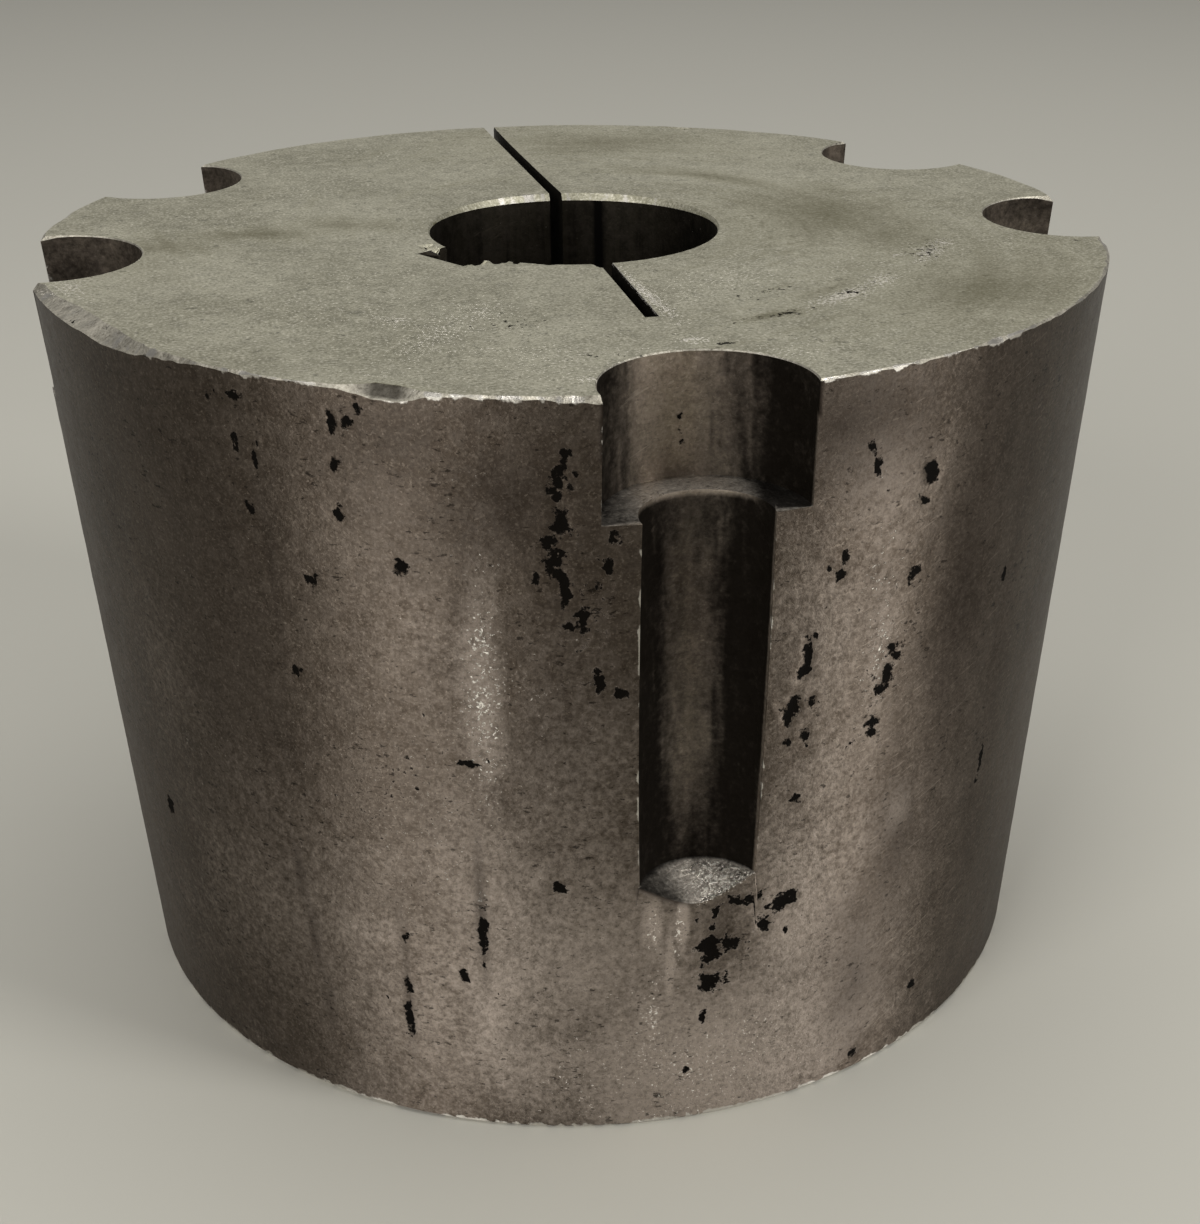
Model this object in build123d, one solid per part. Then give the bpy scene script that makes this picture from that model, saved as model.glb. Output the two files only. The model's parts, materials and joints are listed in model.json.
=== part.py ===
from build123d import *
import math
import os

# Split taper bush: one turned piece of grey cast iron that locks a hub on a shaft.
# Millimetres and degrees. +Z runs up the bore axis, and the origin is on that axis in the
# small end face, on which the bush stands. Bearings run anticlockwise as seen from the
# large end, with 0 at +X, and the front screw hole faces -Y.

# Turned blank
large_end_diameter = 127.0
bush_length = 88.9
taper_half_angle = 4.0
bore_diameter = 34.93
large_rim_break = 0.3
small_rim_break = 0.5
bore_edge_break = 0.4

# Screw holes, half in the bush and half in the hub that it locks
screw_circle_diameter = 122.8
counterbore_diameter = 21.0
counterbore_depth = 13.2
screw_hole_diameter = 13.4
screw_hole_depth = 55.7
drill_point_angle = 118.0
front_hole_bearing = -90.0
hole_turns_from_front = (0.0, 81.5, 120.1, 231.9, 270.1)

# Saw cuts: one right through the wall, and one part way that lets the bush close
split_width = 1.6
split_bearing = 91.45
split_offset = 1.7
relief_slit_width = 1.5
relief_slit_reach = 39.3
relief_slit_bearing = -90.0

# Keyway, its depth measured from the bore wall
keyway_width = 7.94
keyway_depth = 3.97
keyway_bearing = -147.2

# Damage of use, each as its bearing and its size
rim_flat_bearing = -149.0
rim_flat_reach = 2.3
rim_flat_drop = 1.35
rim_chip_bearing = -118.2
rim_chip_half_width = 3.9
rim_chip_reach = 2.2
rim_chip_drop = 1.0
keyway_chip_bearing = -132.5
keyway_chip_radius = 2.4

# How far a cutting tool's shape runs past the face that it enters
tool_overrun = 1.0

bore_radius = bore_diameter / 2
large_end_radius = large_end_diameter / 2
taper_slope = math.tan(math.radians(taper_half_angle))
small_end_radius = large_end_radius - bush_length * taper_slope


def at_bearing(bearing, radius=0.0, height=0.0):
    """Place with its X axis pointing outwards at a bearing, moved out and up."""
    return Rot(0, 0, bearing) * Pos(radius, 0, height)


def turned_blank():
    """Outside turned to its taper, straight bore, and each sharp edge broken."""
    section = Polyline(
        (bore_radius + bore_edge_break, 0),
        (small_end_radius - small_rim_break, 0),
        (small_end_radius + small_rim_break * taper_slope, small_rim_break),
        (large_end_radius - large_rim_break * taper_slope, bush_length - large_rim_break),
        (large_end_radius - large_rim_break, bush_length),
        (bore_radius + bore_edge_break, bush_length),
        (bore_radius, bush_length - bore_edge_break),
        (bore_radius, bore_edge_break),
        close=True,
    )
    return revolve(Plane.XZ * make_face(section), Axis.Z)


def screw_hole():
    """Counterbore, blind drilled hole and drill point, sunk from the large end."""
    counterbore_radius = counterbore_diameter / 2
    hole_radius = screw_hole_diameter / 2
    point_length = hole_radius / math.tan(math.radians(drill_point_angle / 2))
    floor_height = bush_length - counterbore_depth
    end_height = bush_length - screw_hole_depth
    section = Polyline(
        (0, end_height - point_length),
        (hole_radius, end_height),
        (hole_radius, floor_height),
        (counterbore_radius, floor_height),
        (counterbore_radius, bush_length + tool_overrun),
        (0, bush_length + tool_overrun),
        close=True,
    )
    return revolve(Plane.XZ * make_face(section), Axis.Z)


def radial_slot(width, start, reach):
    """Straight slot of the bush's whole length, from one radius out to another."""
    return Box(
        reach - start,
        width,
        bush_length + 2 * tool_overrun,
        align=(Align.MIN, Align.CENTER, Align.MIN),
    ).moved(Pos(start, 0, -tool_overrun))


def rim_flat():
    """Wedge above the flat that knocks have left on the large rim."""
    side = 2 * large_end_radius
    tilt = math.degrees(math.atan2(rim_flat_drop, rim_flat_reach))
    wedge = Box(side, side, side, align=(Align.MIN, Align.CENTER, Align.MIN))
    inner_edge = large_end_radius - rim_flat_reach
    return at_bearing(rim_flat_bearing, inner_edge, bush_length) * Rot(0, tilt, 0) * wedge


def rim_chip():
    """Ball whose shell leaves a shallow scallop in the large rim."""
    centre = large_end_radius - rim_chip_reach + rim_chip_half_width
    overhang = centre - large_end_radius
    half_chord = rim_chip_half_width**2 - overhang**2
    lift = (half_chord - rim_chip_drop**2) / (2 * rim_chip_drop)
    radius = math.hypot(lift, rim_chip_half_width)
    return at_bearing(rim_chip_bearing, centre, bush_length + lift) * Sphere(radius)


def keyway_chip():
    """Ball that takes the broken corner off the keyway's mouth."""
    return at_bearing(keyway_chip_bearing, bore_radius, bush_length) * Sphere(keyway_chip_radius)


def taper_bush():
    """The blank with its holes, saw cuts, keyway and damage cut into it."""
    bush = turned_blank()
    for turn in hole_turns_from_front:
        bearing = front_hole_bearing + turn
        bush -= at_bearing(bearing, screw_circle_diameter / 2) * screw_hole()
    split = radial_slot(split_width, 0, large_end_radius + tool_overrun)
    bush -= Rot(0, 0, split_bearing) * Pos(0, -split_offset, 0) * split
    bush -= Rot(0, 0, relief_slit_bearing) * radial_slot(relief_slit_width, 0, relief_slit_reach)
    bush -= Rot(0, 0, keyway_bearing) * radial_slot(keyway_width, 0, bore_radius + keyway_depth)
    bush -= rim_flat()
    bush -= rim_chip()
    bush -= keyway_chip()
    return bush


bush = taper_bush()
os.makedirs("parts", exist_ok=True)
export_step(bush, "parts/taper_bush.step")
print("taper_bush", bush.volume, bush.is_valid)
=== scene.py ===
import json
import math

import bpy
import numpy as np
from mathutils import Matrix, Vector


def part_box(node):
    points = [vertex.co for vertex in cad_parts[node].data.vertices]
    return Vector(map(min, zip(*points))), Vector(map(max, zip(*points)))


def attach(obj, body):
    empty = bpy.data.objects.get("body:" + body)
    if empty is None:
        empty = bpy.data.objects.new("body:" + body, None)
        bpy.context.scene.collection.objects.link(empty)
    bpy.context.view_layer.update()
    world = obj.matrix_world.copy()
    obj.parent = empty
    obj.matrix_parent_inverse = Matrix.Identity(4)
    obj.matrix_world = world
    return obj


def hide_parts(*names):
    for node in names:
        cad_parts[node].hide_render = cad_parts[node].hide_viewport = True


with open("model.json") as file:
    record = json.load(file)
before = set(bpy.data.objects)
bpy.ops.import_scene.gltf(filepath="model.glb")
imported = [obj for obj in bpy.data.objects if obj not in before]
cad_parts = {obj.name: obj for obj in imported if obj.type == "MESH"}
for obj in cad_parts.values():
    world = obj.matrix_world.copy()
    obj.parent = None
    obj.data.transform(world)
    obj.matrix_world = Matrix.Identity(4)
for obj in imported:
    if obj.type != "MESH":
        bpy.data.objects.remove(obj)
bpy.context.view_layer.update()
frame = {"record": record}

# The bush. It is one casting of grey iron, turned to a taper, bored, keyed, drilled and
# counterbored for five screws, then sawn through on one side. Its sizes are millimetres
# and radians, with bearings anticlockwise from +X as seen from the large end.
MM = 0.001
low_corner, high_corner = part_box("taper_bush")
bush_length = (high_corner.z - low_corner.z) / MM
bore_mount = next(m for m in frame["record"]["mounts"] if m["name"] == "bore")
bore_radius = bore_mount["dims"]["r_mm"]
large_radius = 63.5
taper_slope = math.tan(math.radians(4.0))
small_rim_break = 0.5
bore_edge_break = 0.4
screw_reach = 61.4
counterbore_radius = 10.5
counterbore_depth = 13.2
screw_hole_radius = 6.7
screw_hole_depth = 55.7
drill_point_slope = 1 / math.tan(math.radians(59.0))
screw_bearings = np.radians([141.9, 180.1, 270.0, 351.5, 390.1])
split_bearing = math.radians(91.45)
split_offset = 1.7
split_half_width = 0.8
slit_half_width = 0.75
slit_reach = 39.3
keyway_bearing = math.radians(212.8)
keyway_half_width = 3.97
keyway_floor = bore_radius + 3.97


def cone_radius(height):
    """Radius of the turned outside: it grows in a straight line from the small end up."""
    return large_radius - (bush_length - height) * taper_slope


def half_opening(radius, hole_radius):
    """Half the angle that a screw hole opens in a circle about the bush's axis, by the
    law of cosines on the triangle of bush axis, hole axis and edge."""
    cosine = (radius**2 + screw_reach**2 - hole_radius**2) / (2 * radius * screw_reach)
    return np.arccos(cosine)


def wall_reach(radius, hole_radius):
    """Half the arc of a hole's wall that the bush holds, as seen from the hole's axis."""
    opening = half_opening(radius, hole_radius)
    return np.arctan2(radius * np.sin(opening), screw_reach - radius * np.cos(opening))


# The outline of the bush seen from its large end, as columns that run round it from one
# side of the split to the other. Columns on the rim are spaced finely in front, where
# pits and knocks show, and each screw hole has its own set.
fine_bearing = math.radians(258.0)
floor_height = bush_length - counterbore_depth
end_height = bush_length - screw_hole_depth
floor_opening = float(half_opening(cone_radius(floor_height), counterbore_radius))


def column_pitch(bearing):
    """Millimetres between columns: 0.5 in front, rising smoothly to 2.6 at the back."""
    turn = np.abs((bearing - fine_bearing + np.pi) % (2 * np.pi) - np.pi)
    return 0.5 + 2.1 * np.clip((turn - math.radians(42)) / math.radians(70), 0, 1) ** 1.5


def spaced(start, end):
    """Fractions of an arc at which its columns stand, by the pitch summed along it."""
    samples = 2000
    bearing = np.linspace(start, end, samples)
    steps = np.cumsum(large_radius / column_pitch(bearing)) * (end - start) / samples
    count = max(3, int(steps[-1]))
    return np.interp(np.arange(1, count) * steps[-1] / count, steps, np.linspace(0, 1, samples))


def split_ends(radius):
    """Bearings at which a circle meets the split's two walls, the far one a turn on: a
    wall lies at a set distance to the side of the line at the split's bearing."""
    near = split_bearing - np.arcsin((split_offset - split_half_width) / radius)
    far = split_bearing - np.arcsin((split_offset + split_half_width) / radius)
    return near, 2 * np.pi + far


# A column is on an arc of the rim, on a hole's wall, or on the shoulder beside it, where
# the counterbore is wider than the hole. Its place runs from 0 to 1 along an arc, and from
# -1 to 1 across a wall or from shoulder to shoulder.
ARC, HOLE, SHOULDER = 0, 1, 2
front_hole = 2
last_arc = len(screw_bearings)
slit_place, slit_corner_place = 0.24, 0.7
first_bearing, last_bearing = split_ends(large_radius)
kinds, owners, places = [], [], []


def add_columns(kind, owner, at):
    """Appends columns of one kind, each with the arc or hole it is on and its place."""
    kinds.extend([kind] * len(at))
    owners.extend([owner] * len(at))
    places.extend(at)


# The front hole's columns go on into the relief slit's walls and end, so they are finer.
arc_ends = [first_bearing]
for bearing in screw_bearings:
    arc_ends += [bearing - floor_opening, bearing + floor_opening]
arc_ends.append(last_bearing)
outside_slit = np.array([-1, -0.92, -0.84, -0.77])
slit_wall = np.linspace(-slit_corner_place, -slit_place, 13)
slit_end = np.linspace(-slit_place, slit_place, 7)[1:-1]
front_turns = np.concatenate([outside_slit, slit_wall, slit_end, -slit_wall[::-1], -outside_slit[::-1]])
add_columns(ARC, 0, [0.0])
for arc in range(last_arc + 1):
    add_columns(ARC, arc, spaced(arc_ends[2 * arc], arc_ends[2 * arc + 1]))
    if arc < last_arc:
        shoulder = np.linspace(1, 0, 9 if arc == front_hole else 4)[:-1]
        add_columns(SHOULDER, arc, -shoulder)
        add_columns(HOLE, arc, front_turns if arc == front_hole else np.linspace(-1, 1, 17))
        add_columns(SHOULDER, arc, shoulder[::-1])
add_columns(ARC, last_arc, [1.0])
kind = np.array(kinds)
owner = np.array(owners)
place = np.array(places)
on_arc = kind == ARC
on_hole = kind == HOLE
on_shoulder = kind == SHOULDER
columns = len(kind)
column_number = np.arange(columns)
hole_bearing = screw_bearings[np.minimum(owner, last_arc - 1)]


def placed(reach, side, bearing):
    """Turns a point given by its reach along a bearing and its step to the left of it."""
    x = reach * np.cos(bearing) - side * np.sin(bearing)
    y = reach * np.sin(bearing) + side * np.cos(bearing)
    return x, y


def rim_columns(radius, opening):
    """Bearings of the columns between holes: each keeps its share of its own arc."""
    first, last = split_ends(radius)
    start = np.where(owner == 0, first, screw_bearings[owner - 1] + opening)
    end = np.where(owner == last_arc, last, hole_bearing - opening)
    return start + place * (end - start)


# Share of a counterbore's wall that stands behind the drilled hole's own columns.
core_share = 0.66


def wall_outline(turn, wall_radius):
    """Points of a hole's wall, at turns about the hole's own axis from the bush's axis."""
    reach = screw_reach - wall_radius * np.cos(turn)
    return placed(reach, wall_radius * np.sin(turn), hole_bearing)


def counterbored_outline(radius, wall_radius):
    """Outline at heights where the counterbores are open: circle arcs, and in each hole
    the arc of the counterbore's wall about the hole's own axis."""
    opening = half_opening(radius, wall_radius)
    x, y = placed(radius + 0 * place, 0 * place, rim_columns(radius, opening))
    reach = wall_reach(radius, wall_radius)
    core = core_share * reach
    beside = np.sign(place) * (core + np.abs(place) * (reach - core))
    hole_x, hole_y = wall_outline(np.where(on_hole, place * core, beside), wall_radius)
    return np.where(on_arc, x, hole_x), np.where(on_arc, y, hole_y)


def drilled_outline(radius, hole_radius):
    """Outline below the counterbores: circle arcs that run in to the narrower hole."""
    x, y = placed(radius + 0 * place, 0 * place, rim_columns(radius, floor_opening + 0 * radius))
    inner = half_opening(radius, hole_radius)
    offset = np.sign(place) * (inner + np.abs(place) * (floor_opening - inner))
    shoulder_x, shoulder_y = placed(radius + 0 * place, 0 * place, hole_bearing + offset)
    hole_x, hole_y = wall_outline(place * wall_reach(radius, hole_radius), hole_radius)
    x = np.select([on_arc, on_shoulder], [x, shoulder_x], hole_x)
    y = np.select([on_arc, on_shoulder], [y, shoulder_y], hole_y)
    return x, y


def rows(*parts):
    """Stacks rows of points, each part being its x, y and height arrays."""
    return np.concatenate([np.stack(np.broadcast_arrays(*part), 2) for part in parts])


row_pitch = 0.7
upper = np.linspace(bush_length, floor_height, int(counterbore_depth / row_pitch))[:, None]
counterbore_rows = rows((*counterbored_outline(cone_radius(upper), counterbore_radius), upper))

# The counterbore's flat floor: each hole column steps from the wall in to the drilled
# hole, while the columns beside it go on down the taper.
floor_steps = 5
share = np.linspace(0, 1, floor_steps + 1)[1:, None]
floor_level = np.full((1, 1), floor_height)
outer_x, outer_y = counterbored_outline(cone_radius(floor_level), counterbore_radius)
inner_x, inner_y = drilled_outline(cone_radius(floor_level), screw_hole_radius)
aside_height = floor_height - row_pitch * share
aside_x, aside_y = drilled_outline(cone_radius(aside_height), screw_hole_radius)
floor_rows = rows((
    np.where(on_arc, aside_x, outer_x + (inner_x - outer_x) * share),
    np.where(on_arc, aside_y, outer_y + (inner_y - outer_y) * share),
    np.where(on_arc, aside_height, floor_height),
))

# The drilled hole's wall, in rows about as far apart as those above.
hole_steps = 57
share = np.linspace(0, 1, hole_steps + 1)[1:, None]
hole_height = floor_height + (end_height - floor_height) * share
aside_height = floor_height - row_pitch + (end_height - floor_height + row_pitch) * share
level = np.where(on_arc, aside_height, hole_height)
arc_x, arc_y = drilled_outline(cone_radius(aside_height), screw_hole_radius)
hole_x, hole_y = drilled_outline(cone_radius(hole_height), screw_hole_radius)
hole_rows = rows((np.where(on_arc, arc_x, hole_x), np.where(on_arc, arc_y, hole_y), level))

# The drill point: straight lines from the hole's end ring down the drill's cone to where
# each line leaves the taper, found by a few rounds of Newton's rule.
end_level = np.full((1, 1), end_height)
ring_turn = (place * wall_reach(cone_radius(end_level), screw_hole_radius))[0]


def point_level(radius):
    """Height of the drill's cone at a radius about the hole's axis."""
    return end_height - (screw_hole_radius - radius) * drill_point_slope


newton_rounds = 8
exit_radius = np.full(columns, 3.0)
for _ in range(newton_rounds):
    squared = screw_reach**2 - 2 * screw_reach * exit_radius * np.cos(ring_turn) + exit_radius**2
    miss = np.sqrt(squared) - cone_radius(point_level(exit_radius))
    pull = (exit_radius - screw_reach * np.cos(ring_turn)) / np.sqrt(squared)
    exit_radius = exit_radius - miss / (pull - drill_point_slope * taper_slope)
    exit_radius = np.clip(exit_radius, 0.5, screw_hole_radius)
exit_reach = screw_reach - exit_radius * np.cos(ring_turn)
exit_offset = np.arctan2(exit_radius * np.sin(ring_turn), exit_reach)
point_depth = 3.6
drill_steps = 7
share = np.linspace(0, 1, drill_steps + 1)[1:, None]
point_radius = screw_hole_radius + (exit_radius - screw_hole_radius) * share
point_x, point_y = wall_outline(ring_turn, point_radius)


def plain_outline(height):
    """Outline below the holes: the full circle, its columns where the holes left them."""
    radius = cone_radius(height)
    bearings = rim_columns(radius, floor_opening + 0 * radius)
    inner = half_opening(cone_radius(end_level), screw_hole_radius)
    shoulder = hole_bearing + np.sign(place) * (inner + np.abs(place) * (floor_opening - inner))
    bearings = np.select([on_arc, on_hole], [bearings, hole_bearing + exit_offset], shoulder)
    return placed(radius + 0 * place, 0 * place, bearings)


aside_height = end_height - point_depth * share + 0 * place
aside_x, aside_y = plain_outline(aside_height)
drill_rows = rows((
    np.where(on_hole, point_x, aside_x),
    np.where(on_hole, point_y, aside_y),
    np.where(on_hole, point_level(point_radius), aside_height),
))
start_height = np.where(on_hole, point_level(exit_radius), end_height - point_depth)
plain_steps = 39
share = np.linspace(0, 1, plain_steps + 1)[1:, None]
plain_height = start_height + (small_rim_break - start_height) * share
plain_rows = rows((*plain_outline(plain_height), plain_height))
side_rows = np.concatenate([counterbore_rows, floor_rows, hole_rows, drill_rows, plain_rows])


def slot_path(knots, bearing, half_width, reach, radius):
    """Path in and out of a straight slot in the bore: wall, floor and wall again, its
    four corners at the columns named in knots."""
    mouth = math.sqrt(radius**2 - half_width**2)
    along = np.interp(column_number, knots, [mouth, reach, reach, mouth])
    side = np.interp(column_number, knots, [-half_width, -half_width, half_width, half_width])
    return placed(along, side, bearing)


# Each column crosses the large end on a curve that meets the rim or a counterbore's wall
# squarely: its bend points from there away from the wall and in from the rim. Along an arc
# the bend leans away from the holes at both ends, by shares that fade over lean_fade.
lean_fade = 10
lean_most = 1.33
rim_bend = 9
wall_bend, wall_bend_growth = 5, 4
top_level = np.full((1, 1), bush_length)
face_x, face_y = counterbored_outline(cone_radius(top_level), counterbore_radius)
face_bearing = np.arctan2(face_y, face_x)
wall_x = (face_x - screw_reach * np.cos(hole_bearing)) / counterbore_radius
wall_y = (face_y - screw_reach * np.sin(hole_bearing)) / counterbore_radius
arc_length = large_radius * (np.roll(arc_ends, -1) - arc_ends)[::2][owner]
ahead = np.where(owner < last_arc, np.exp((place - 1) * arc_length / lean_fade), 0)
behind = np.where(owner > 0, np.exp(-place * arc_length / lean_fade), 0)
lean = lean_most * (behind - ahead) / (1 - np.exp(-arc_length / lean_fade))
bend_x = np.where(on_arc, -lean * np.sin(face_bearing), wall_x) - np.cos(face_bearing)
bend_y = np.where(on_arc, lean * np.cos(face_bearing), wall_y) - np.sin(face_bearing)
wall_share = np.abs(place) * np.where(on_hole, core_share, 1 - core_share) + core_share * on_shoulder
bend_length = np.where(on_arc, rim_bend, wall_bend + wall_bend_growth * wall_share**2)
bend_length = bend_length / np.hypot(bend_x, bend_y)
bend_x = face_x + bend_x * bend_length
bend_y = face_y + bend_y * bend_length

# The bearing of each column's bend is also its bearing in the bore, where columns stand at
# least least_turn apart. The keyway and the slit take the columns between their knots.
rim_place = np.unwrap(np.arctan2(bend_y, bend_x)[0])
least_turn = math.radians(0.12)
steps = np.maximum(np.diff(rim_place), least_turn)
steps *= (rim_place[-1] - rim_place[0]) / steps.sum()
rim_place = np.concatenate([rim_place[:1], rim_place[0] + np.cumsum(steps)])
keyway_knots = np.searchsorted(rim_place, keyway_bearing + np.radians([-13.1, -6.5, 6.5, 13.1]))
front_columns = np.flatnonzero((owner == front_hole) & on_hole)
slit_knots = [
    front_columns[np.argmin(np.abs(place[front_columns] - corner))]
    for corner in (-slit_corner_place, -slit_place, slit_place, slit_corner_place)
]


def bore_outline(radius):
    """Outline of the bore: a circle with the keyway and the relief slit let into it."""
    key_turn = math.asin(keyway_half_width / radius)
    slit_turn = math.asin(slit_half_width / radius)
    first, last = split_ends(radius)
    marks = [0, keyway_knots[0], keyway_knots[3], slit_knots[0], slit_knots[3], columns - 1]
    bearings = [
        first, keyway_bearing - key_turn, keyway_bearing + key_turn,
        1.5 * math.pi - slit_turn, 1.5 * math.pi + slit_turn, last,
    ]
    x, y = placed(radius, 0, np.interp(rim_place, rim_place[marks], bearings))
    in_key = (column_number >= marks[1]) & (column_number <= marks[2])
    in_slit = (column_number >= marks[3]) & (column_number <= marks[4])
    key_x, key_y = slot_path(keyway_knots, keyway_bearing, keyway_half_width, keyway_floor, radius)
    slit_x, slit_y = slot_path(slit_knots, 1.5 * math.pi, slit_half_width, slit_reach, radius)
    x = np.select([in_key, in_slit], [key_x, slit_x], x)
    y = np.select([in_key, in_slit], [key_y, slit_y], y)
    return x[None], y[None]


def cloud(u, v, size, seed):
    """Smooth random field: random values on a square lattice of the given size, blended
    between lattice points by a smooth step. The lattice repeats after its whole span."""
    span = 97
    table = np.random.default_rng(seed).standard_normal((span, span))
    row, column = (np.floor(at / size).astype(int) for at in np.broadcast_arrays(u, v))
    down, across = u / size - row, v / size - column
    down, across = down**2 * (3 - 2 * down), across**2 * (3 - 2 * across)
    row, column = row % span, column % span
    near = table[row, column] * (1 - across) + table[row, (column + 1) % span] * across
    row = (row + 1) % span
    far = table[row, column] * (1 - across) + table[row, (column + 1) % span] * across
    return near * (1 - down) + far * down


# The large end's rim, knocked and filed in use. Each row is a bearing in degrees, then how
# far in and how far down the edge is broken there in millimetres, and how bright it is
# rubbed, below 0 where the chip's shadow is painted dark. A long flat lies beside the left
# hole, a chip in front.
rim_wear = np.array([
    (89, 0.3, 0.3, 0.4), (131, 0.3, 0.3, 0.5), (132.4, 0.7, 0.5, 0.6), (151.4, 0.7, 0.5, 0.6),
    (153, 0.3, 0.3, 0.5), (169, 0.3, 0.3, 0.6), (170.6, 0.8, 0.6, 0.9), (189.5, 1.2, 0.9, 0.6),
    (195, 1.5, 0.8, 0.45), (200, 2.4, 0.85, 0.4), (205, 2.4, 0.9, 0.4), (210, 1.9, 1.2, 0.45),
    (214, 1.1, 1.1, 0.55), (218, 0.6, 0.6, 0.55), (221, 0.3, 0.3, 0.5), (224, 0.12, 0.15, 0.4),
    (237.8, 0.12, 0.12, 0.75), (238.8, 0.6, 0.4, -0.15), (241, 1.9, 1, -0.8),
    (243.3, 1.6, 1.1, -0.8), (245.2, 0.7, 0.6, -0.15), (245.9, 0.25, 0.25, 0.8),
    (254, 0.2, 0.3, 0.75), (257.5, 0.35, 0.6, 0.7), (260.5, 0.3, 0.8, 0.7), (279.5, 0.2, 0.25, 0.8),
    (283, 0.15, 0.15, 0.75), (297, 0.12, 0.12, 0.6), (300, 0.3, 0.25, 0.7), (309, 0.3, 0.25, 0.65),
    (313, 0.15, 0.12, 0.3), (336, 0.3, 0.25, 0.5), (339, 0.6, 0.4, 0.5), (340.5, 0.9, 0.6, 0.6),
    (342, 1.5, 1, 0.6), (361, 1.1, 0.8, 0.7), (363, 0.4, 0.3, 0.5), (378, 0.3, 0.3, 0.5),
    (380.6, 0.6, 0.4, 0.6), (399.6, 0.6, 0.4, 0.6), (402, 0.3, 0.3, 0.4), (448, 0.3, 0.3, 0.4),
])
top_bearing = np.unwrap(np.arctan2(side_rows[0, :, 1], side_rows[0, :, 0]))
rim_length = large_radius * top_bearing


def along_rim(size, seed):
    """Smooth random field along the rim, its lumps of a size in millimetres."""
    return cloud(rim_length, 0 * rim_length, size, seed)


# Small knocks and a ripple roughen the edge, the ripple less on the wide flat. The holes'
# own edges are broken by hole_break all round.
rim_inset, rim_drop, rim_shine_and_painted_shadow = (
    np.interp(np.degrees(top_bearing), rim_wear[:, 0], column) for column in rim_wear.T[1:]
)
hole_break = 0.15
wide_flat = rim_inset >= 1
knocks = np.where(wide_flat, 0, 0.3 * np.clip(along_rim(2.2, 21) - 0.9, 0, 1))
ripple = np.where(wide_flat, 0.35, 1) * (0.25 * along_rim(1.1, 22) + 0.2 * along_rim(2.6, 23))
rim_inset = np.clip(rim_inset + np.minimum(rim_inset, 0.35) * ripple, 0.08, 2.6) + knocks
rim_drop = np.clip(rim_drop + np.minimum(rim_drop, 0.3) * ripple, 0.08, 1.5) + 0.7 * knocks
rim_inset = np.select([on_hole, on_arc], [hole_break, rim_inset], np.minimum(rim_inset, 0.6))
beside_hole = hole_break + (rim_drop - hole_break) * np.abs(place) ** 3
rim_drop = np.select([on_hole, on_shoulder], [hole_break, beside_hole], rim_drop)

# The side's upper rows sink with the rim, least at their foot.
fade_height = bush_length - 8
height = side_rows[:, :, 2]
lift = np.clip((height - fade_height) / (bush_length - fade_height), 0, 1)
new_height = height - lift * rim_drop
squeeze = np.where(on_arc, cone_radius(new_height) / cone_radius(height), 1)
side_rows = np.stack([side_rows[:, :, 0] * squeeze, side_rows[:, :, 1] * squeeze, new_height], 2)

# The small end is flat inside its broken edge. The bore runs up from it to its mouth, whose
# edge is broken wide at the back and less in front.
ground = np.zeros((1, 1))
foot_x, foot_y = plain_outline(ground + small_rim_break)
foot_squeeze = 1 - small_rim_break / cone_radius(0)
foot_edge = rows((foot_x * foot_squeeze, foot_y * foot_squeeze, ground))
foot_inner = rows((*bore_outline(bore_radius + bore_edge_break), ground))
quarters = np.linspace(0, 1, 5)[1:-1, None, None]
foot_rows = foot_edge + (foot_inner - foot_edge) * quarters
mouth_break, mouth_drop = 0.5, 0.85
mouth_front, most_worn = 0.35, math.radians(80)
mouth_share = np.clip(np.cos(rim_place - most_worn), 0, 1)[None]
mouth_share = mouth_front + (1 - mouth_front) * mouth_share
bore_top = bush_length - mouth_drop * mouth_share
bore_height = np.array([0.4, 4, 12, 22, 32, 42, 52, 60, 67, 73, 78, 82, 85, 86.5, 87.4, 87.8])
bore_x, bore_y = bore_outline(bore_radius)
bore_rows = rows(
    (bore_x, bore_y, bore_height[:, None]),
    (bore_x, bore_y, bore_top - 0.02),
    (bore_x, bore_y, bore_top),
)
wide_x, wide_y = bore_outline(bore_radius + mouth_break)
mouth_x = bore_x + (wide_x - bore_x) * mouth_share
mouth_y = bore_y + (wide_y - bore_y) * mouth_share
mouth_edge = rows((mouth_x, mouth_y, top_level))

# The large end's rows lie closest together at the bore, and the broken rim joins it to the
# side, which closes the ring of rows.
face_steps, face_crowding = 53, 1.15
counterbore_break = 0.12
face_radius = cone_radius(bush_length) - rim_inset[None]
edge_outline = counterbored_outline(face_radius, counterbore_radius + counterbore_break)
face_edge = rows((*edge_outline, top_level))
bend = rows((bend_x, bend_y, top_level))
share = np.linspace(0, 1, face_steps + 1)[1:-1, None, None] ** face_crowding
face_rows = mouth_edge * (1 - share) ** 2 + bend * 2 * share * (1 - share) + face_edge * share**2
rim_rows = face_edge + (side_rows[:1] - face_edge) * quarters
points = np.concatenate([
    side_rows, foot_edge, foot_rows, foot_inner, bore_rows, mouth_edge, face_rows, face_edge, rim_rows,
])

# Where each band of rows starts in the ring.
floor_start = len(counterbore_rows)
hole_start = floor_start + len(floor_rows)
drill_start = hole_start + len(hole_rows)
drill_end = drill_start + len(drill_rows)
side_count = len(side_rows)
bore_start = side_count + 1 + len(foot_rows)
mouth_row = bore_start + 1 + len(bore_rows)
rim_start = len(points) - len(rim_rows)

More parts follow.
